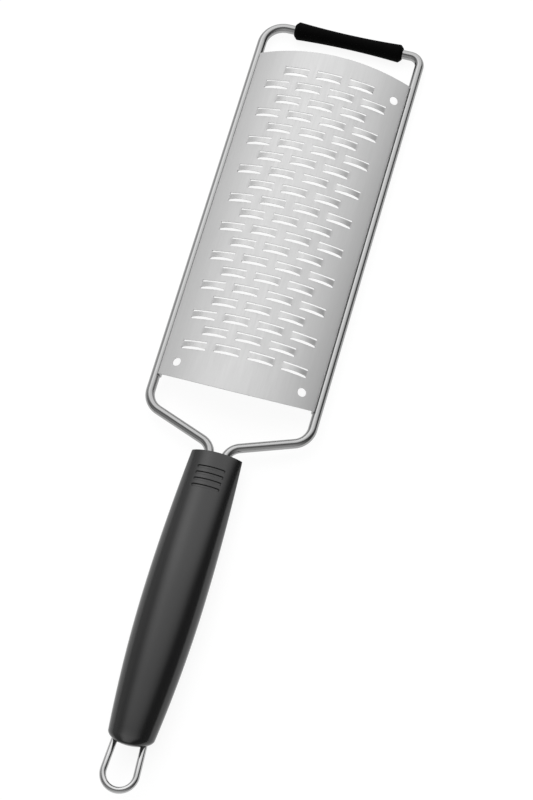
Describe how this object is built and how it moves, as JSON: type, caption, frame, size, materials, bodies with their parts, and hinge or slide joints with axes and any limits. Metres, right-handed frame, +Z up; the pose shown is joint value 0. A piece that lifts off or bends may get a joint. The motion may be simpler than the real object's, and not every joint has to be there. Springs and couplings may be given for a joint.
{
  "type": "two-sided hand grater",
  "caption": "Hand grater: crowned steel plate of raised two-edged strips in a bent wire frame, black oval handle with a wire hanging loop, rubber sleeve at the head.",
  "frame": {"origin": "middle of the tool's length and width, on the floor that it lies on", "axes": "+Y along the tool towards the head, +X to the right seen from above with the head away, +Z up from the floor, towards the cutting side"},
  "size_m": [0.07, 0.3322, 0.0183],
  "materials": {
    "plate_steel": "satin",
    "wire_steel": "polished",
    "sleeve_rubber": "matte",
    "core_plastic": "matte",
    "grip_plastic": "satin"
  },
  "bodies": {
    "root": {"grater_plate": "plate_steel", "frame_wire": "wire_steel", "foot_sleeve": "sleeve_rubber", "handle_core": "core_plastic", "handle_grip": "grip_plastic", "hanging_loop": "wire_steel"}
  },
  "joints": []
}
